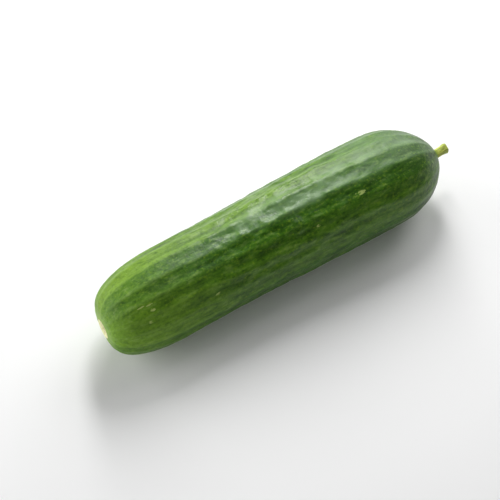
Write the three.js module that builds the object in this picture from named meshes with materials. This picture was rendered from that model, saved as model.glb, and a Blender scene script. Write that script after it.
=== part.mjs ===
// A fresh short cucumber lying on its side: the fruit, and the cut stub of the stem that it hung from.
// Millimetres, +Z up. +X runs from the blossom end to the stem. The origin lies on the surface that the
// fruit rests on, below the middle of the whole part.
import * as THREE from "three";
import { mergeVertices } from "three/addons/utils/BufferGeometryUtils.js";

// Driving sizes of the fruit
const FRUIT_LENGTH = 165;
const FRUIT_RADIUS = 20;
const STEM_SWELL = 0.9; // how much thicker the stem half is
const SWELL_SPAN = [0.3, 0.75]; // the shares of the length between which it thickens
const WAIST = 0.35; // how much thinner the fruit is between the two bulges
const WAIST_PLACE = 0.36; // as a share of the length
const WAIST_WIDTH = 0.16;
const BOW = 1.6; // the sideways bend, towards +Y at the middle
const FLAT_DEPTH = 0.25; // how far the belly is pressed flat where it rests
const BLOSSOM_LEAN = 0.05; // the slope of the blossom end's face, whose -Y side stands out further

// Rounding of the ends: a cap's length, the two powers of its curve, and how far past the end it closes
const BLOSSOM_CAP = { length: 33, inner: 3.9, outer: 0.5, past: 0 };
const STEM_CAP = { length: 31.8, inner: 1.235, outer: 0.4, past: 1.5 };

// The pale corky scar that the flower left
const SCAR_RADIUS = 4.3;
const SCAR_LIP = 0.3;
const SCAR_SINK = 0.35;

// The stem, standing in a socket in a shallow dimple of the shoulder
const STEM_RADIUS = 1.9;
const STEM_TIP_RADIUS = 2.3;
const STEM_COLLAR = 2.75;
const STEM_REACH = 6.5; // from the shoulder to the cut
const STEM_ROOT = 2.4; // from the shoulder to the bottom of the stem
const STEM_RIDGE = 0.16;
const STEM_RIDGES = 5;
const STEM_CHAMFER = 0.3;
const STEM_RISE = 0.6; // how far the cut end is bent upwards
const GAP = 0.3;
const SOCKET_RADIUS = STEM_COLLAR + GAP;
const SOCKET_DEPTH = STEM_ROOT + GAP;
const DIMPLE_RADIUS = 8;
const DIMPLE_DEPTH = 0.7;

// Relief of the skin
const SIDES = 90;
const RIBS = 18;
const RIB_HEIGHT = 0.5;
const RIB_MEAN = 1 / 3; // the mean of a rib's section, taken off to keep the fruit as thick as without ribs
const RIB_VARIETY = [0.65, 1.35]; // the lowest and the highest rib, as shares of the usual height
const RIB_FADE = 0.5; // the share of their height that the ribs keep at both ends
const RIB_TWIST = THREE.MathUtils.degToRad(20); // how far the ribs turn round the fruit from end to end
const RIB_PHASE = THREE.MathUtils.degToRad(3); // how far the first rib lies above level, halfway along
const LOBES = 3; // a cucumber is three fused seed chambers
const LOBE_HEIGHT = 0.22;
const LOBE_PHASE = 0.6;
const LUMPS = 7;
const LUMP_HEIGHT = 0.11;
const BELLY_SMOOTHING = 0.85; // the share of all relief that the belly lacks
const RELIEF_START = 1.15 * SCAR_RADIUS; // the distance from the middle line at which relief begins
const RELIEF_RISE = 0.6 * FRUIT_RADIUS;
const BODY_RINGS = 18;
const CAP_RINGS = 11;

// A small seeded random number generator, so that every build is alike.
function randomFrom(seed) {
  let state = seed;
  return () => {
    state = (state * 1664525 + 1013904223) % 4294967296;
    return state / 4294967296;
  };
}

const random = randomFrom(7);
const ribWeights = Array.from({ length: RIBS }, () => THREE.MathUtils.lerp(...RIB_VARIETY, random()));
const lumps = Array.from({ length: LUMPS }, (_, i) => ({
  waves: 1 + Math.floor(i / 2) + random(),
  turns: 1 + (i % 4),
  phase: 2 * Math.PI * random(),
  angle: 2 * Math.PI * random(),
}));

// How far from the end the cap has reached a share of its full radius.
function capDepth(cap, share) {
  return Math.max(0, cap.length * (1 - (1 - share ** cap.inner) ** cap.outer) - cap.past);
}

// How much the fruit's radius differs from its plain one, at a place along it.
function swell(along) {
  const t = THREE.MathUtils.clamp(along / FRUIT_LENGTH, 0, 1);
  const stemSide = THREE.MathUtils.smoothstep(t, ...SWELL_SPAN);
  return STEM_SWELL * stemSide - WAIST * Math.exp(-(((t - WAIST_PLACE) / WAIST_WIDTH) ** 2));
}

// Evenly turned shares of the full radius, from a first share up to 1.
function capShares(first) {
  const start = Math.asin(first);
  return Array.from({ length: CAP_RINGS }, (_, i) =>
    Math.sin(start + ((Math.PI / 2 - start) * (i + 1)) / CAP_RINGS),
  );
}

// Half of the fruit's lengthwise section, as (radius, place along the fruit), from pole to pole.
function fruitSection() {
  const points = [];
  const add = (radius, along) => points.push(new THREE.Vector2(radius, along));
  add(0, SCAR_SINK);
  add(0.45 * SCAR_RADIUS, SCAR_SINK);
  add(0.8 * SCAR_RADIUS, 0.6 * SCAR_SINK);
  add(0.93 * SCAR_RADIUS, -SCAR_LIP);
  add(1.05 * SCAR_RADIUS, -0.5 * SCAR_LIP);
  add(1.2 * SCAR_RADIUS, capDepth(BLOSSOM_CAP, (1.2 * SCAR_RADIUS) / FRUIT_RADIUS));
  for (const share of capShares((1.3 * SCAR_RADIUS) / FRUIT_RADIUS))
    add(share * FRUIT_RADIUS, capDepth(BLOSSOM_CAP, share));

  const bodyStart = BLOSSOM_CAP.length;
  const bodyEnd = FRUIT_LENGTH - STEM_CAP.length + STEM_CAP.past;
  for (let i = 1; i < BODY_RINGS; i++)
    add(FRUIT_RADIUS, THREE.MathUtils.lerp(bodyStart, bodyEnd, i / BODY_RINGS));

  for (const share of capShares((1.25 * SOCKET_RADIUS) / FRUIT_RADIUS).reverse()) {
    const radius = share * FRUIT_RADIUS;
    const dimple = DIMPLE_DEPTH * Math.max(0, 1 - (radius / DIMPLE_RADIUS) ** 2) ** 2;
    add(radius, FRUIT_LENGTH - capDepth(STEM_CAP, share) - dimple);
  }
  const mouth = FRUIT_LENGTH - DIMPLE_DEPTH;
  add(1.12 * SOCKET_RADIUS, mouth);
  add(SOCKET_RADIUS, mouth - 0.2);
  add(SOCKET_RADIUS, mouth - SOCKET_DEPTH);
  add(0, mouth - SOCKET_DEPTH);
  return points;
}

// The height of the ribs at an angle round the fruit: one edged crest for each rib, a flat facet between.
function ribHeight(angle) {
  const turn = (((angle / (2 * Math.PI)) % 1) + 1) % 1;
  const rib = Math.round(turn * RIBS);
  const offset = Math.abs(turn * RIBS - rib);
  return ribWeights[rib % RIBS] * (1 - 2 * offset) ** 2;
}

// How far the skin stands out of the plain round section. The ribs are strongest halfway along, and the
// belly that the fruit rests on is smoother than the rest.
function skinRelief(along, angle, turned) {
  const t = along / FRUIT_LENGTH;
  const rise = THREE.MathUtils.lerp(RIB_FADE, 1, Math.sin(Math.PI * t));
  const ribs = RIB_HEIGHT * rise * (ribHeight(angle) - RIB_MEAN);
  const lobes = LOBE_HEIGHT * Math.cos(LOBES * turned + LOBE_PHASE);
  const uneven = lumps.reduce(
    (sum, l) =>
      sum + Math.sin(Math.PI * l.waves * t + l.phase) * Math.cos(l.turns * turned + l.angle),
    0,
  );
  const belly = Math.max(0, -Math.sin(turned)) ** 8;
  return (1 - BELLY_SMOOTHING * belly) * (ribs + lobes + LUMP_HEIGHT * uneven);
}

// Where the fruit's middle line runs sideways, from 0 at the ends to the full bow at the middle.
function bowAt(along) {
  const t = (2 * along) / FRUIT_LENGTH - 1;
  return BOW * (1 - t * t);
}

// A lathed solid about +X, with its seam and poles closed.
function lathe(section, sides) {
  const turned = new THREE.LatheGeometry(section, sides);
  turned.rotateZ(-Math.PI / 2);
  turned.deleteAttribute("normal");
  turned.deleteAttribute("uv");
  return mergeVertices(turned, 1e-3);
}

// Moves each vertex of a lathed solid to where a formula puts it.
function reshape(geometry, place) {
  const at = geometry.getAttribute("position");
  const point = new THREE.Vector3();
  for (let i = 0; i < at.count; i++) {
    point.fromBufferAttribute(at, i);
    place(point);
    at.setXYZ(i, point.x, point.y, point.z);
  }
  geometry.computeVertexNormals();
  return geometry;
}

// The fruit. Each ring of vertices is turned with the ribs, so that a crest runs along one line of them.
function fruitGeometry() {
  const floor = FLAT_DEPTH - FRUIT_RADIUS;
  return reshape(lathe(fruitSection(), SIDES), (p) => {
    const radius = Math.hypot(p.y, p.z);
    const angle = Math.atan2(p.z, p.y);
    const turned = angle + RIB_PHASE + RIB_TWIST * (p.x / FRUIT_LENGTH - 0.5);
    const grown = THREE.MathUtils.clamp((radius - RELIEF_START) / RELIEF_RISE, 0, 1);
    const along = p.x;
    const full = radius * (1 + swell(along) / FRUIT_RADIUS);
    const out = full + grown * skinRelief(along, angle, turned);
    p.y = out * Math.cos(turned);
    p.z = out * Math.sin(turned) + grown * swell(along);
    p.x += BLOSSOM_LEAN * p.y * Math.max(0, 1 - along / BLOSSOM_CAP.length) ** 2;
    p.y += bowAt(along);
    p.z = Math.max(p.z, floor);
  });
}

// The stem's section: a blunt root in the socket, a collar at the skin, and a slightly swollen cut end.
function stemSection() {
  return [
    [0, -STEM_ROOT],
    [STEM_RADIUS, -STEM_ROOT],
    [STEM_RADIUS + STEM_CHAMFER, -0.6 * STEM_ROOT],
    [STEM_COLLAR, 0],
    [STEM_RADIUS + 0.35, 0.7],
    [STEM_RADIUS, 1.6],
    [STEM_RADIUS, 0.5 * STEM_REACH],
    [STEM_TIP_RADIUS, 0.85 * STEM_REACH],
    [STEM_TIP_RADIUS, STEM_REACH - 0.35],
    [STEM_TIP_RADIUS - STEM_CHAMFER, STEM_REACH],
    [0, STEM_REACH - 0.2],
  ].map(([radius, along]) => new THREE.Vector2(radius, along));
}

function stemGeometry() {
  return reshape(lathe(stemSection(), 4 * STEM_RIDGES), (p) => {
    const ridge = 1 + (STEM_RIDGE / STEM_RADIUS) * Math.cos(STEM_RIDGES * Math.atan2(p.z, p.y));
    p.y *= ridge;
    p.z *= ridge;
    p.z += STEM_RISE * (Math.max(0, p.x) / STEM_REACH) ** 2;
  });
}

function piece(name, geometry, colour, roughness) {
  const material = new THREE.MeshStandardMaterial({ color: colour, roughness, metalness: 0 });
  const mesh = new THREE.Mesh(geometry, material);
  mesh.name = name;
  return mesh;
}

const fruit = piece("fruit", fruitGeometry(), 0x3f7a1c, 0.4);
const stem = piece("stem", stemGeometry(), 0xa8b552, 0.7);
stem.position.x = FRUIT_LENGTH - DIMPLE_DEPTH;

// The part is moved so that its box stands on the origin.
const cucumber = new THREE.Group();
cucumber.add(fruit, stem);
const box = new THREE.Box3().setFromObject(cucumber, true);
const middle = box.getCenter(new THREE.Vector3());
for (const mesh of [fruit, stem]) mesh.position.sub(new THREE.Vector3(middle.x, middle.y, box.min.z));

export default cucumber;
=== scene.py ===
"""A short smooth-skinned cucumber lying on a pale floor: ribbed green skin, corky blossom scar, cut stem.

Everything is in metres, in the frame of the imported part. +X runs from the blossom end to the stem.
"""
import math

import bpy
import numpy as np
from mathutils import Matrix, Vector


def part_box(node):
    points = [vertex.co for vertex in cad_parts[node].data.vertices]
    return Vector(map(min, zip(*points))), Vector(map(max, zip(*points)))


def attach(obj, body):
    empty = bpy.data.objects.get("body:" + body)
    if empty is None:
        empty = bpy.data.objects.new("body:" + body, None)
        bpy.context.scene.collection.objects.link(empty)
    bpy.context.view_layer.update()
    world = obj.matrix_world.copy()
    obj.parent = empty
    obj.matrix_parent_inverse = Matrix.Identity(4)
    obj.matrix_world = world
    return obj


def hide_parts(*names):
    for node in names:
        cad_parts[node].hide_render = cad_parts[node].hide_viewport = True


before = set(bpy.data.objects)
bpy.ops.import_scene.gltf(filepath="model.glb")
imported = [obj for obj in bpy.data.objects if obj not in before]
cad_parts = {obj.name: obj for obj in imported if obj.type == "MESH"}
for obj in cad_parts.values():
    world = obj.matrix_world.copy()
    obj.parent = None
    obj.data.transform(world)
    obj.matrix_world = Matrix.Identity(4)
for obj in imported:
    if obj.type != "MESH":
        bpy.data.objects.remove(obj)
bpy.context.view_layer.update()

MM = 0.001

# The fruit's form, as in the part's own source
FRUIT_LENGTH = 165 * MM
FRUIT_RADIUS = 20 * MM
STEM_SWELL = 0.9 * MM  # how much thicker the stem half is
SWELL_SPAN = (0.3, 0.75)  # the shares of the length between which it thickens
BOW = 1.6 * MM  # the sideways bend, at the middle
FLAT_DEPTH = 0.25 * MM
DIMPLE_DEPTH = 0.7 * MM
SCAR_RADIUS = 4.3 * MM
RIBS = 18
RIB_TWIST = math.radians(20)
RIB_PHASE = math.radians(3)
STEM_REACH = 6.5 * MM

# The fruit's middle line: how far aside and how high it lies at both ends, and where it starts and ends
AXIS_Y = -1.275 * MM
AXIS_Z = FRUIT_RADIUS - FLAT_DEPTH
STEM_CUT_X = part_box("stem")[1].x
STEM_BASE = Vector((STEM_CUT_X - STEM_REACH, AXIS_Y, AXIS_Z))
TIP_X = STEM_BASE.x - (FRUIT_LENGTH - DIMPLE_DEPTH)

# Relief, row by row: its name, height and grain in millimetres, how long the grain is, its detail, the way
# it moves the surface, the vertices that it moves, and its seed
SKIN_RELIEF = (
    ("wander", 1.7, 4.6, (1.5, 1, 1), 2, "RGB_TO_XYZ", "middle", 0.31),
    ("dents", 0.6, 3.2, (2.6, 0.8, 0.8), 3, "NORMAL", "middle", 0.77),
    ("swells", 0.25, 16, (1.6, 1, 1), 1, "NORMAL", "skin", 0.13),
    ("pores", 0.12, 1.7, (1.2, 1, 1), 2, "NORMAL", "skin", 0.53),
)
STEM_RELIEF = ("fibres", 0.16, 0.7, (4, 0.6, 0.6), 2, "NORMAL", "", 0.21)
SEED_WAY = (1, 0.37, 0.61)

# Where the skin's relief is: it grows between two heights above the floor and between two distances from the
# middle line. It is strongest at a share of the length and at a rib, and each has its reach beside it
OFF_FLOOR = (0.2 * MM, 4 * MM)
OFF_POLES = (5 * MM, 11 * MM)
STRONGEST = (0.53, 0.3)
MOST_DENTED_RIB = (5.2, 1.8)
SHARPEST_RIB = (4.6, 1.3)
FACET_HOLLOW = 0.36 * MM
LONG_EDGE = 1.8 * MM
EDGE_CUTS = 3
WEIGHT_STEPS = 20

# The stem, its lengths in millimetres: a short drum near its base, which grows both ways in rings
STEM_SIDES = 40
DRUM_RADIUS = 1.88
DRUM_DEPTH = 0.5
DRUM_PLACE = 1.4  # how far the drum's middle stands out of the fruit
NECK_RINGS = ((0.2, 0.98), (0.2, 1.0), (0.2, 1.04), (0.2, 1.09), (0.12, 1.06), (0.08, 1.0))  # share, scale
COLLAR_RINGS = ((0.35, 1.1), (0.3, 1.18), (0.25, 1.2), (0.2, 1.18), (0.5, 1.0), (0.8, 0.8))  # step, scale
CUT_RINGS = ((0.22, 0.06), (0.3, -0.16), (0.75, -0.14), (0.4, 0.06))  # inset, how far it then stands out
BENDS = ((1.6, 0.1), (2.8, 0.12), (3.8, 0.12), (4.6, 0.12))  # place, how far all beyond it is lifted
STEM_RIDGES = 5
RIDGE_SCALE = 1.1
RIDGE_FROM = 0.4  # a vertex is on a ridge where the ridges' cosine wave is above this
RIM_RADIUS = 1.3  # only vertices further out than this are on a ridge
PITH_LIFT = 0.5  # how far above the middle line the pith's middle is

# Places on the skin, counted in ribs from the +Y side
# The crest past which the upper flank is laid paler, partly as painted light, and the rib past which the low
# front is laid lighter as painted light from below
FLANK_EDGE = 4.15
LOW_FRONT_EDGE = 5.5
# The lit facet's rib, and the first and last rib of the upper band, where the waxy bloom and its painted
# sheen lie
WAX_AND_SHEEN_RIB = 4.3
WAX_AND_SHEEN_TOP = (1.2, 4.2)

# Lengths in the materials. A pair says how far from the middle line something begins to fade and has gone
BELLY_HEIGHT = 14 * MM
PORE_SPACING = 2.4 * MM
SCAR_BLUR = 0.2 * MM
LIP_WIDTH = 0.4 * MM
SCAR_HEART = (0.4 * MM, 1.0 * MM)
SCAR_FLOOR = (2.6 * MM, 3.5 * MM)
SCAR_CRACK_ENDS = (3.0 * MM, 4.2 * MM)
# The paler ring round the scar, partly the blossom end's own paler skin and partly painted rim light
SCAR_HALO = (SCAR_RADIUS, 10.5 * MM)
SHOULDER = (2.5 * MM, 7 * MM)
PITH_CORE = (0.5 * MM, 1.5 * MM)

# Fine relief that only the shading shows, by height and strength, and the number of cracks in the scar
SKIN_BUMP = (0.22 * MM, 0.75)
STEM_BUMP = (0.15 * MM, 0.8)
SCAR_CRACKS = 9

# Colours of the skin
TIP_GREEN = (0.165, 0.325, 0.012)
YOUNG_GREEN = (0.085, 0.200, 0.010)
LEAF_GREEN = (0.046, 0.142, 0.007)
DARK_GREEN = (0.020, 0.060, 0.005)
# The upper flank's greens, partly its own tone and partly painted light where the key light falls
FLANK_TIP_GREEN = (0.190, 0.335, 0.025)
FLANK_GREEN = (0.158, 0.285, 0.035)
# A green-grey that darkens by multiplying: for the mottle and dark specks, and for the painted shade in the
# hollows between the ribs
DARKENING = (0.400, 0.490, 0.380)
SPECK_YELLOW = (0.220, 0.360, 0.022)
PALE_STREAK = (0.300, 0.440, 0.120)
# A pale bluish green, partly the waxy bloom and partly a painted sheen
HAZE_AND_PAINTED_SHEEN = (0.200, 0.310, 0.160)
SCUFF_CREAM = (0.420, 0.520, 0.150)
CORK_CREAM = (0.780, 0.780, 0.460)
CORK_BROWN = (0.330, 0.230, 0.090)

# Colours of the stem and the floor
FIBRE_GREEN = (0.340, 0.420, 0.045)
FIBRE_YELLOW = (0.620, 0.680, 0.130)
BLOTCH_BROWN = (0.360, 0.330, 0.090)
COLLAR_GREEN = (0.080, 0.190, 0.015)
PITH_CREAM = (0.620, 0.660, 0.300)
PITH_GREEN = (0.420, 0.480, 0.130)
PITH_BROWN = (0.280, 0.240, 0.070)
PAPER_GREY = (0.930, 0.930, 0.930)
PAPER_WHITE = (0.950, 0.950, 0.950)

# Small scuffed spots: millimetres from the blossom tip, degrees round the fruit, half length, half width,
# and how much of the spot has lost its green
SCUFFS = (
    (14.0, 119, 2.2, 0.5, 0.62),
    (17.5, 121, 2.4, 0.5, 0.5),
    (18.0, 129, 1.8, 1.1, 0.5),
    (15.5, 142, 1.4, 0.9, 0.5),
    (46.0, 150, 2.5, 0.9, 0.42),
    (97.0, 133, 3.0, 0.8, 0.4),
    (119.0, 122, 4.2, 1.5, 0.44),
)

# The camera: degrees round from square on and up, its distance, and how far it aims off the fruit's middle
CAMERA_TURN = -31.8
CAMERA_RISE = 58
CAMERA_DISTANCE = 0.792
AIM_HEIGHT = 19.8 * MM
AIM_LEFT = 11.6 * MM
AIM_BELOW = 6.8 * MM
LENS = 135
SENSOR = 36

# Soft lights: name, lean, turn and half angles in degrees, distance, and radiance
LIGHTS = (
    ("key_softbox", 19.8, 46, (6.6, 20), 0.45, 17.5),
    ("blossom_back_softbox", -46, 27, (27, 17), 0.9, 2.6),
    ("stem_side_softbox", 50, 50, (14, 30), 0.8, 2.9),
    ("blossom_side_fill", -66, 112, (20, 40), 1.0, 1.5),
)
SURROUNDINGS = 0.1
FLOOR_SIZE = 8
FLOOR_GAP = 0.05 * MM


# Modelling helpers

def deselect():
    """Nothing is selected for the next operator."""
    for thing in bpy.context.selected_objects:
        thing.select_set(False)


def work_on(piece):
    """The piece alone is selected and active."""
    deselect()
    piece.select_set(True)
    bpy.context.view_layer.objects.active = piece


def edit(piece):
    """Edit mode on the piece, with all of its mesh selected."""
    work_on(piece)
    bpy.ops.object.mode_set(mode="EDIT")
    bpy.ops.mesh.select_all(action="SELECT")


def leave_edit():
    bpy.ops.object.mode_set(mode="OBJECT")


def select_where(piece, kind, wanted):
    """In edit mode, selects the vertices, edges or faces that a test picks."""
    bpy.ops.mesh.select_mode(type=kind)
    bpy.ops.mesh.select_all(action="DESELECT")
    leave_edit()
    mesh = piece.data
    parts = {"VERT": mesh.vertices, "EDGE": mesh.edges, "FACE": mesh.polygons}[kind]
    for part in parts:
        part.select = wanted(part)
    bpy.ops.object.mode_set(mode="EDIT")


def apply_modifiers(piece):
    work_on(piece)
    for modifier in list(piece.modifiers):
        bpy.ops.object.modifier_apply(modifier=modifier.name)


def settle(piece):
    """The piece's place goes into its mesh, and its object to the origin."""
    work_on(piece)
    bpy.ops.object.transform_apply(location=True, rotation=True, scale=True)


def subdivide_smoothly(piece, levels):
    smooth = piece.modifiers.new("smooth", "SUBSURF")
    smooth.levels = levels
    smooth.render_levels = levels
    apply_modifiers(piece)


def ruffle(piece, name, height, size, stretch, detail, along, group, seed):
    """Displaces the piece by a cloudy texture, along its normals or freely.

    height and size, the texture's grain, are in millimetres. stretch is how long the grain is each way.
    """
    clouds = bpy.data.textures.new(name, "CLOUDS")
    clouds.noise_scale = 1.0
    clouds.noise_depth = detail
    clouds.cloud_type = "COLOR" if along == "RGB_TO_XYZ" else "GRAYSCALE"
    grain = bpy.data.objects.new(name + "_grain", None)
    bpy.context.scene.collection.objects.link(grain)
    grain.location = [seed * share for share in SEED_WAY]
    grain.scale = [size * MM * share for share in stretch]
    bpy.context.view_layer.update()
    ruffles = piece.modifiers.new(name, "DISPLACE")
    ruffles.texture = clouds
    ruffles.texture_coords = "OBJECT"
    ruffles.texture_coords_object = grain
    ruffles.direction = along
    ruffles.mid_level = 0.5
    ruffles.strength = height * MM
    ruffles.vertex_group = group
    apply_modifiers(piece)
    bpy.data.objects.remove(grain)
    bpy.data.textures.remove(clouds)


def points_of(piece):
    """The piece's vertices as rows of x, y and z."""
    places = np.empty(len(piece.data.vertices) * 3)
    piece.data.vertices.foreach_get("co", places)
    return places.reshape(-1, 3)


def weigh(piece, name, weights):
    """A vertex group with these weights, rounded to a few steps."""
    group = piece.vertex_groups.new(name=name)
    steps = np.round(np.clip(weights, 0, 1) * WEIGHT_STEPS).astype(int)
    for step in range(1, WEIGHT_STEPS + 1):
        group.add(np.flatnonzero(steps == step).tolist(), step / WEIGHT_STEPS, "REPLACE")


def bell(values, middle, width):
    """1 at middle, falling off to both sides."""
    return np.exp(-(((values - middle) / width) ** 2))


def ramp(values, start, end):
    """0 before start and 1 after end, turning smoothly between them."""
    share = np.clip((values - start) / (end - start), 0, 1)
    return share * share * (3 - 2 * share)


# The fruit

def ribs_at(places):
    """How far round the fruit each point is, in ribs from its +Y side, and how far along from 0 to 1."""
    along = (places[:, 0] - TIP_X) / FRUIT_LENGTH
    side = places[:, 1] - AXIS_Y - BOW * (1 - (2 * along - 1) ** 2)
    lift = places[:, 2] - AXIS_Z - STEM_SWELL * ramp(along, *SWELL_SPAN)
    turned = np.arctan2(lift, side) - RIB_PHASE - RIB_TWIST * (along - 0.5)
    return turned / (2 * math.pi) * RIBS, along


def rounded_fruit():
    """A copy of the frame's fruit, merged into quads and rounded off."""
    skin = bpy.data.objects.new("fruit_skin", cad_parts["fruit"].data.copy())
    bpy.context.scene.collection.objects.link(skin)
    work_on(skin)
    bpy.ops.mesh.customdata_custom_splitnormals_clear()
    edit(skin)
    bpy.ops.mesh.remove_doubles(threshold=0.001 * MM)
    bpy.ops.mesh.tris_convert_to_quads(face_threshold=math.pi, shape_threshold=math.pi)
    leave_edit()
    subdivide_smoothly(skin, 1)
    return skin


def cut_finer(skin):
    """Cuts the long edges that run mostly along the body."""
    edit(skin)
    vertices = skin.data.vertices

    def runs_along_body(edge):
        start, end = (vertices[i].co for i in edge.vertices)
        step = end - start
        return step.length > LONG_EDGE and abs(step.x) > 0.8 * step.length

    select_where(skin, "EDGE", runs_along_body)
    bpy.ops.mesh.subdivide(number_cuts=EDGE_CUTS)
    leave_edit()


def weigh_relief(skin):
    """Vertex groups for the relief: nothing at the floor and the poles, and most on the camera's side."""
    places = points_of(skin)
    from_axis = np.hypot(places[:, 1] - AXIS_Y, places[:, 2] - AXIS_Z)
    free = ramp(places[:, 2], *OFF_FLOOR) * ramp(from_axis, *OFF_POLES)
    around, along = ribs_at(places)
    middle = bell(along, *STRONGEST)
    dented = 0.5 + 0.5 * bell(around, *MOST_DENTED_RIB)
    edged = 0.5 + 0.5 * bell(around, *SHARPEST_RIB)
    from_crest = np.abs(around - np.round(around))
    hollow = 1 - (1 - 2 * from_crest) ** 2
    weigh(skin, "skin", free)
    weigh(skin, "middle", free * middle * dented)
    weigh(skin, "facets", free * hollow * edged * (0.45 + 0.55 * middle))


def fruit_skin():
    """The frame's fruit, cut finer, with hollow facets that give the ribs an edge, and with small dents."""
    skin = rounded_fruit()
    cut_finer(skin)
    weigh_relief(skin)
    hollows = skin.modifiers.new("hollows", "DISPLACE")
    hollows.strength = -FACET_HOLLOW
    hollows.mid_level = 0.0
    hollows.vertex_group = "facets"
    apply_modifiers(skin)
    for relief in SKIN_RELIEF:
        ruffle(skin, *relief)
    bpy.ops.object.shade_smooth()
    return skin


# The stem

def grow_ring(step, scale):
    """Extrudes the selected end face along the stem, step in millimetres, and scales its rim."""
    bpy.ops.mesh.extrude_region_move(TRANSFORM_OT_translate={"value": (step * MM, 0, 0)})
    bpy.ops.transform.resize(value=(1, scale, scale), center_override=tuple(STEM_BASE))


def select_end(stem, side):
    """Selects the stem's end face on the +X side, or on the -X side."""
    select_where(stem, "FACE", lambda face: len(face.vertices) > 4 and face.normal.x * side > 0.5)


def grow_stem(stem):
    """From the drum, grows the neck with its flared cut end, and the collar with the root below it."""
    edit(stem)
    select_end(stem, 1)
    neck = (STEM_CUT_X - STEM_BASE.x) / MM - (DRUM_PLACE + DRUM_DEPTH / 2)
    for share, scale in NECK_RINGS:
        grow_ring(share * neck, scale)
    for inset, stand_out in CUT_RINGS:
        bpy.ops.mesh.inset(thickness=inset * MM)
        bpy.ops.transform.translate(value=(stand_out * MM, 0, 0))
    select_end(stem, -1)
    for step, scale in COLLAR_RINGS:
        grow_ring(-step, scale)
    leave_edit()


def ridge_and_bend(stem):
    """Draws out the ridges, and bends the cut end upwards."""

    def on_ridge(vertex):
        y, z = vertex.co.y - STEM_BASE.y, vertex.co.z - STEM_BASE.z
        on_rim = math.hypot(y, z) > RIM_RADIUS * MM
        wave = math.cos(STEM_RIDGES * math.atan2(z, y))
        return on_rim and wave > RIDGE_FROM and vertex.co.x > STEM_BASE.x

    edit(stem)
    select_where(stem, "VERT", on_ridge)
    bpy.ops.transform.resize(value=(1, RIDGE_SCALE, RIDGE_SCALE), center_override=tuple(STEM_BASE))
    for place, lift in BENDS:
        start = STEM_BASE.x + place * MM
        select_where(stem, "VERT", lambda vertex: vertex.co.x > start)
        bpy.ops.transform.translate(value=(0, 0, lift * MM))
    bpy.ops.mesh.select_all(action="SELECT")
    bpy.ops.mesh.normals_make_consistent(inside=False)
    leave_edit()


def stem_stub():
    """The cut stem: a collar that spreads over its socket, a ridged waist, and a flared cut end."""
    bpy.ops.mesh.primitive_cylinder_add(
        vertices=STEM_SIDES,
        radius=DRUM_RADIUS * MM,
        depth=DRUM_DEPTH * MM,
        location=STEM_BASE + Vector((DRUM_PLACE * MM, 0, 0)),
        rotation=(0, math.pi / 2, 0),
    )
    stem = bpy.context.active_object
    stem.name = "stem_stub"
    settle(stem)
    grow_stem(stem)
    ridge_and_bend(stem)
    subdivide_smoothly(stem, 2)
    ruffle(stem, *STEM_RELIEF)
    bpy.ops.object.shade_smooth()
    return stem


# Materials

class Shade:
    """A value on its way through a material's nodes. Arithmetic on it adds Math nodes."""

    def __init__(self, finish, socket):
        self.finish = finish
        self.socket = socket

    def math(self, operation, *values):
        return self.finish.node("Math", {"operation": operation}, *values)

    def __add__(self, other):
        return self.math("ADD", self, other)

    def __radd__(self, other):
        return self.math("ADD", other, self)

    def __sub__(self, other):
        return self.math("SUBTRACT", self, other)

    def __rsub__(self, other):
        return self.math("SUBTRACT", other, self)

    def __mul__(self, other):
        return self.math("MULTIPLY", self, other)

    def __rmul__(self, other):
        return self.math("MULTIPLY", other, self)

    def __truediv__(self, other):
        return self.math("DIVIDE", self, other)

    def __abs__(self):
        return self.math("ABSOLUTE", self)

    def root(self):
        return self.math("SQRT", self)

    def cosine(self):
        return self.math("COSINE", self)

    def turn_from(self, side):
        """The angle of a point that is this high and stands that far to the side."""
        return self.math("ARCTAN2", self, side)

    def step(self, start, end):
        """0 up to start and 1 from end on, turning smoothly between them."""
        sockets = {"Value": self, "From Min": start, "From Max": end}
        return self.finish.node("MapRange", {"interpolation_type": "SMOOTHSTEP"}, **sockets)


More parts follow.
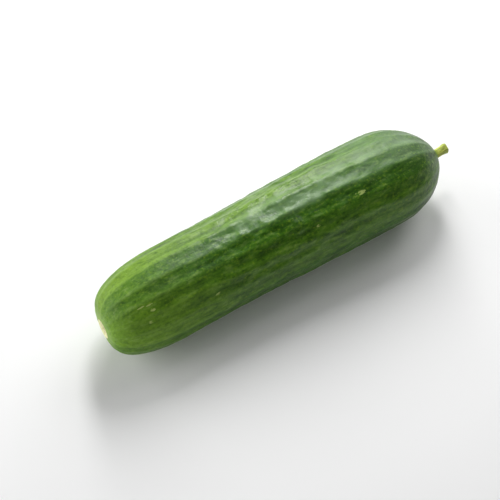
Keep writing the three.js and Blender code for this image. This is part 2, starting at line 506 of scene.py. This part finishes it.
class Finish:
    """A material and its nodes, with patterns that lie still on the piece."""

    def __init__(self, name, **constants):
        self.material = bpy.data.materials.new(name)
        self.material.use_nodes = True
        self.tree = self.material.node_tree
        self.shader = self.tree.nodes["Principled BSDF"]
        for socket, value in constants.items():
            self.shader.inputs[socket.replace("_", " ")].default_value = value
        self.place = self.node("TexCoord", output="Object")

    def put(self, socket, value):
        if isinstance(value, Shade):
            self.tree.links.new(value.socket, socket)
        else:
            socket.default_value = value

    def node(self, kind, settings=None, *values, output=0, **named):
        """Adds a node: its settings first, then its sockets' values or links. Gives back one output."""
        made = self.tree.nodes.new("ShaderNode" + kind)
        for name, value in (settings or {}).items():
            setattr(made, name, value)
        for socket, value in zip(made.inputs, values):
            self.put(socket, value)
        for name, value in named.items():
            self.put(next(s for s in made.inputs if name in (s.identifier, s.name)), value)
        if isinstance(output, str):
            return Shade(self, next(s for s in made.outputs if output in (s.identifier, s.name)))
        return Shade(self, made.outputs[output])

    def coordinates(self):
        """The x, y and z of the place."""
        apart = self.node("SeparateXYZ", None, self.place)
        return [Shade(self, socket) for socket in apart.socket.node.outputs]

    def clouds(self, size, detail=3.0, roughness=0.5, stretch=None, shift=(0, 0, 0)):
        """Noise from 0 to 1 whose grain is size metres. A stretch below 1 draws it out along the fruit."""
        vector = self.place
        if stretch:
            vector = self.node("Mapping", None, Vector=vector, Scale=(stretch, 1, 1), Location=shift)
        sockets = {"Vector": vector, "Scale": 1 / size, "Detail": detail, "Roughness": roughness}
        return self.node("TexNoise", None, **sockets)

    def blend(self, share, low, high, mode="MIX"):
        """A colour between two others."""
        settings = {"data_type": "RGBA", "blend_type": mode, "clamp_factor": True}
        sockets = {"Factor_Float": share, "A_Color": rgba(low), "B_Color": rgba(high)}
        return self.node("Mix", settings, output="Result_Color", **sockets)

    def bump(self, height, distance, strength):
        return self.node("Bump", None, Height=height, Distance=distance, Strength=strength)

    def feed(self, **links):
        for socket, value in links.items():
            self.put(self.shader.inputs[socket.replace("_", " ")], value)


def rgba(colour):
    return (*colour, 1.0) if isinstance(colour, tuple) else colour


def dress(piece, finish):
    piece.data.materials.clear()
    piece.data.materials.append(finish.material)


class SkinFinish(Finish):
    """The waxy skin. Each step lays one thing over its colour, and keeps the patterns that others share.

    along goes from 0 at the blossom tip to 1 at the stem, and ribs_round counts ribs from the +Y side.
    """

    def __init__(self):
        super().__init__("waxy green skin", IOR=1.345)
        self.find_ribs()
        self.green()
        self.pale_sides()
        self.mottle()
        self.streak()
        self.prick()
        self.scuff()
        self.scar()
        self.wax_and_painted_sheen()
        self.feed(Base_Color=self.colour, Roughness=self.dullness(), Normal=self.relief())

    def lay(self, share, colour, mode="MIX"):
        """Lays a colour over the skin by a share, which may vary from place to place."""
        self.colour = self.blend(share, self.colour, colour, mode)

    def darken(self, share):
        self.lay(share, DARKENING, "MULTIPLY")

    def find_ribs(self):
        """Where a point is along the fruit, how far from its middle line, and which rib it lies on."""
        x, y, self.height = self.coordinates()
        self.from_tip = x - TIP_X
        self.along = self.from_tip / FRUIT_LENGTH
        from_middle = self.along * 2 - 1
        side = y - AXIS_Y - BOW * (1 - from_middle * from_middle)
        lift = self.height - AXIS_Z - STEM_SWELL * self.along.step(*SWELL_SPAN)
        self.radius = (side * side + lift * lift).root()
        self.angle = lift.turn_from(side)
        self.drift = self.clouds(14 * MM, 2.0, stretch=0.35) - 0.5
        rib_turn = (self.angle - RIB_PHASE - RIB_TWIST * (self.along - 0.5)) * RIBS + self.drift * 1.3
        self.crest = rib_turn.cosine()
        self.ribs_round = rib_turn / (2 * math.pi)
        self.off_tip = self.along.step(0.0, 0.25)

    def green(self):
        """Green that darkens from the blossom end to the stem, unevenly."""
        uneven = self.clouds(22 * MM, stretch=0.5, shift=(3, 0, 0)) - 0.5
        self.grown = self.along + uneven * 0.22
        self.colour = self.blend(self.grown.step(-0.08, 0.09), TIP_GREEN, YOUNG_GREEN)
        self.lay(self.grown.step(0.06, 0.36), LEAF_GREEN)
        self.lay(self.grown.step(0.7, 1.1) * 0.7, DARK_GREEN)
        self.lay(self.along.step(0.9, 1.0) * 0.5, DARK_GREEN)

    def pale_sides(self):
        """A yellower upper flank past the fourth crest, fading towards the stem, partly the skin's own tone
        and partly painted light where the key light falls on the top, and a low front laid in younger and
        tip greens as painted light from below.
        """
        flank_and_painted_light = (FLANK_EDGE - self.ribs_round).step(0.0, 0.3) * (self.ribs_round - 0.8).step(0.0, 2.4)
        flank_green = self.blend(self.along.step(0.0, 0.3), FLANK_TIP_GREEN, FLANK_GREEN)
        # Painted light: the upper flank is laid paler, partly for its own yellower tone and partly for the
        # key light falling on the top
        self.lay(flank_and_painted_light * (1 - self.grown.step(0.45, 1.0)) * 0.8, flank_green)
        # Painted light from below: the low front is laid in younger and tip greens
        painted_low_light = (self.ribs_round - LOW_FRONT_EDGE).step(0.0, 1.5)
        self.lay(painted_low_light * 0.75, YOUNG_GREEN)
        self.lay(painted_low_light * (1 - self.grown.step(0.1, 0.34)) * 0.7, TIP_GREEN)

    def mottle(self):
        """Fine lengthwise mottle, and round yellowish and dark specks."""
        self.fine = self.clouds(1.6 * MM, 4.0, 0.62, stretch=0.28)
        self.coarse = self.clouds(5 * MM, stretch=0.45, shift=(0, 5, 0))
        self.lay(self.fine.step(0.5, 0.7) * 0.3, PALE_STREAK)
        self.darken(self.fine.step(0.5, 0.32) * (0.5 + self.off_tip * 0.25))
        self.darken(self.coarse.step(0.52, 0.3) * (0.35 + self.off_tip * 0.25))
        specks = self.clouds(1.1 * MM, 3.0, 0.6, stretch=0.8, shift=(4, 0, 0))
        self.lay(specks.step(0.52, 0.72) * 0.45, SPECK_YELLOW)
        self.darken(specks.step(0.48, 0.3) * 0.6)

    def streak(self):
        """Pale streaks on the crests near the blossom end, painted shade in the hollows between them, and a
        paler belly.
        """
        self.broken = self.clouds(3 * MM, stretch=0.2, shift=(0, 0, 7))
        on_crest = self.crest.step(0.55, 1.0) * (1 - self.along.step(0.1, 0.5))
        self.lay(on_crest * self.broken.step(0.35, 0.6) * 0.12, PALE_STREAK)
        # Painted shade: the hollows between the ribs are darkened
        painted_valley_shade = (0 - self.crest).step(0.2, 1.0) * self.off_tip
        self.darken(painted_valley_shade * self.broken.step(0.25, 0.6) * 0.55)
        belly = (1 - (self.height / BELLY_HEIGHT).step(0.0, 1.0)) * self.coarse.step(0.25, 0.7)
        self.lay(belly * 0.3, PALE_STREAK)

    def prick(self):
        """Pin-dots of the pores."""
        sockets = {"Vector": self.place, "Scale": 1 / PORE_SPACING, "Randomness": 1.0}
        from_dot = self.node("TexVoronoi", None, output="Distance", **sockets)
        self.dots = 1 - from_dot.step(0.06, 0.13)
        self.lay(self.dots * 0.12, PALE_STREAK)

    def scuff(self):
        """Scuffed spots, where cream flecks show."""
        flecks = self.clouds(0.7 * MM, 3.0, 0.6, stretch=0.4, shift=(0, 0, 3))
        self.scuffed = 0
        for start, degrees, half_length, half_width, share in SCUFFS:
            run = (self.from_tip - start * MM) / (half_length * MM)
            turn = self.angle - math.radians(degrees)
            across = turn * (FRUIT_RADIUS / (half_width * MM)) + self.drift * 3
            spot = 1 - (run * run + across * across).step(0.1, 1.0)
            self.scuffed = self.scuffed + (flecks + spot * share).step(0.85, 0.95)
        self.lay(self.scuffed * 0.75, SCUFF_CREAM)

    def scar(self):
        """The corky scar of the flower: a lip, a beige floor with radial cracks, and a brown heart."""
        ragged = self.radius + (self.clouds(1.2 * MM) - 0.5) * (1.1 * MM)
        near_tip = 1 - self.along.step(0.02, 0.03)
        self.cork = (1 - ragged.step(SCAR_RADIUS - SCAR_BLUR, SCAR_RADIUS + SCAR_BLUR)) * near_tip
        sunk = 1 - ragged.step(*SCAR_FLOOR)
        heart = 1 - ragged.step(*SCAR_HEART)
        grain = self.clouds(0.5 * MM, 4.0, 0.65)
        spokes = (self.angle * SCAR_CRACKS + grain * 6).cosine()
        cracks = spokes.step(0.75, 1.0) * (1 - ragged.step(*SCAR_CRACK_ENDS))
        worn = sunk * 0.25 + grain.step(0.5, 0.7) * 0.25 + heart * 0.6 + cracks * 0.35
        # A paler ring round the scar: partly the blossom end's own paler skin and partly a painted rim of
        # light on the end
        ring_and_painted_rim_light = (1 - ragged.step(*SCAR_HALO)) * (1 - self.along.step(0.02, 0.05))
        lip = ragged.step(SCAR_RADIUS - LIP_WIDTH, SCAR_RADIUS) * self.cork
        self.lay(ring_and_painted_rim_light * 0.4, PALE_STREAK)
        self.lay(self.cork, self.blend(worn, CORK_CREAM, CORK_BROWN))
        self.lay(lip * 0.3, CORK_BROWN)
        self.cork_relief = self.cork * (grain * 1.5 - cracks * 0.8 - heart)

    def wax_and_painted_sheen(self):
        """A paler shoulder round the stem, and a bluish haze on the upper facets that is partly the skin's
        waxy bloom and partly a painted sheen where the key light's reflection falls, patchy here and there.
        """
        shoulder = (1 - self.radius.step(*SHOULDER)) * self.along.step(0.9, 0.95)
        self.lay(shoulder * 0.2, PALE_STREAK)
        self.waxy = self.clouds(7 * MM, 4.0, stretch=0.5, shift=(1, 1, 0))
        front = (1 - abs(self.ribs_round - WAX_AND_SHEEN_RIB).step(0.5, 1.1)) * self.along.step(0.2, 0.55)
        front = front * (1 - self.along.step(0.55, 0.85) * 0.6)
        first, last = WAX_AND_SHEEN_TOP
        top = (self.ribs_round - first).step(0.0, 1.0) * (last - self.ribs_round).step(0.0, 0.6)
        top = top * self.along.step(0.62, 0.85) * (1 - self.along.step(0.9, 1.0))
        # Painted sheen: the haze is strongest on the lit facet and on the upper band near the stem, where
        # the key light's reflection falls
        self.lay((front + top * 0.7) * (0.2 + self.waxy.step(0.3, 0.7) * 0.5), HAZE_AND_PAINTED_SHEEN)

    def dullness(self):
        """The roughness: least before the middle, and most at the blossom end, on cork and on scuffs."""
        skin = 0.23 + self.waxy * 0.12 + self.fine * 0.08
        ends = (1 - self.along.step(0.2, 0.4)) * 0.2 + self.along.step(0.5, 0.8) * 0.08
        return skin + ends + self.cork * 0.4 + self.scuffed * 0.2

    def relief(self):
        """Fine wrinkles and grains, raised crests, sunk pores and the scar's cork."""
        wrinkles = self.clouds(2.2 * MM, stretch=1.3)
        grains = self.clouds(0.45 * MM, 2.0)
        ridge = self.crest.step(0.3, 1.0) * self.off_tip * self.broken.step(0.3, 0.7)
        height = wrinkles + ridge * 0.2 + grains * 0.25 - self.dots * 0.6 + self.cork_relief
        return self.bump(height, *SKIN_BUMP)


def stem_finish():
    """Dry green fibre, darker at the collar, with a paler pith on the cut."""
    stem = Finish("dry green stem", IOR=1.45)
    x, y, z = stem.coordinates()
    out = (x - STEM_BASE.x) / (STEM_CUT_X - STEM_BASE.x)
    fibres = stem.clouds(0.5 * MM, 4.0, 0.6, stretch=0.12)
    blotches = stem.clouds(1.6 * MM)
    speckle = stem.clouds(0.3 * MM)
    colour = stem.blend(fibres.step(0.35, 0.7), FIBRE_GREEN, FIBRE_YELLOW)
    colour = stem.blend(blotches.step(0.55, 0.75) * 0.35, colour, BLOTCH_BROWN)
    colour = stem.blend(1 - out.step(0.02, 0.3), colour, COLLAR_GREEN)

    side, lift = y - STEM_BASE.y, z - (STEM_BASE.z + PITH_LIFT * MM)
    radius = (side * side + lift * lift).root()
    pith = stem.blend(radius.step(*PITH_CORE), PITH_CREAM, PITH_GREEN)
    pith = stem.blend(speckle.step(0.55, 0.7) * 0.5, pith, PITH_BROWN)
    colour = stem.blend(out.step(0.955, 0.985), colour, pith)
    normal = stem.bump(fibres + speckle * 0.4, *STEM_BUMP)
    stem.feed(Base_Color=colour, Roughness=0.5 + fibres * 0.2, Normal=normal)
    return stem


def floor_finish():
    floor = Finish("pale floor", Roughness=0.9, Specular_IOR_Level=0.1)
    floor.feed(Base_Color=floor.blend(floor.clouds(0.4, 2.0), PAPER_GREY, PAPER_WHITE))
    return floor


# Studio

def camera():
    """A camera that sees the fruit as the photograph does: from above its side, stem away to the right."""
    turn, rise = math.radians(CAMERA_TURN), math.radians(CAMERA_RISE)
    towards = Vector((math.sin(turn) * math.cos(rise), -math.cos(turn) * math.cos(rise), math.sin(rise)))
    right = Vector((math.cos(turn), math.sin(turn), 0))
    above = towards.cross(right)
    aim = Vector((0, 0, AIM_HEIGHT)) - AIM_LEFT * right - AIM_BELOW * above
    bpy.ops.object.camera_add(location=aim + towards * CAMERA_DISTANCE)
    eye = bpy.context.active_object
    eye.name = "camera"
    eye.rotation_euler = (-towards).to_track_quat("-Z", "Y").to_euler()
    eye.data.lens = LENS
    eye.data.sensor_width = SENSOR
    eye.data.clip_start = 0.01
    eye.data.dof.use_dof = False
    bpy.context.scene.camera = eye


def soft_light(name, towards_stem, round_fruit, half_angles, distance, radiance):
    """A rectangular soft light squared up with the fruit, as bright as its radiance from everywhere.

    Angles are in degrees, as seen from the fruit: how far the light's middle leans from square on towards
    the stem, how far round from level on the far side it stands, and how far it reaches both ways.
    """
    lean, turn = math.radians(towards_stem), math.radians(round_fruit)
    away = Vector((math.sin(lean), math.cos(lean) * math.cos(turn), math.cos(lean) * math.sin(turn)))
    tall = away.cross(Vector((1, 0, 0))).normalized()
    wide = tall.cross(away)
    bpy.ops.object.light_add(type="AREA", location=Vector((0, 0, FRUIT_RADIUS)) + away * distance)
    light = bpy.context.active_object
    light.name = name
    light.rotation_euler = Matrix((wide, tall, away)).transposed().to_euler()
    light.data.shape = "RECTANGLE"
    width, height = (2 * distance * math.tan(math.radians(angle)) for angle in half_angles)
    light.data.size = width
    light.data.size_y = height
    light.data.energy = radiance * math.pi * width * height


def pale_floor():
    bpy.ops.mesh.primitive_plane_add(size=FLOOR_SIZE, location=(0, 0, -FLOOR_GAP))
    floor = bpy.context.active_object
    floor.name = "floor"
    dress(floor, floor_finish())


def surroundings():
    """A weak white light from all round, and colours shown as they are."""
    world = bpy.data.worlds.new("studio")
    bpy.context.scene.world = world
    world.use_nodes = True
    background = world.node_tree.nodes["Background"]
    background.inputs["Color"].default_value = (1, 1, 1, 1)
    background.inputs["Strength"].default_value = SURROUNDINGS
    bpy.context.scene.view_settings.view_transform = "Standard"


deselect()
camera()
for light in LIGHTS:
    soft_light(*light)
pale_floor()
surroundings()

deselect()
skin = fruit_skin()
dress(skin, SkinFinish())
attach(skin, "root")
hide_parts("fruit")

deselect()
stem = stem_stub()
dress(stem, stem_finish())
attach(stem, "root")
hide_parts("stem")
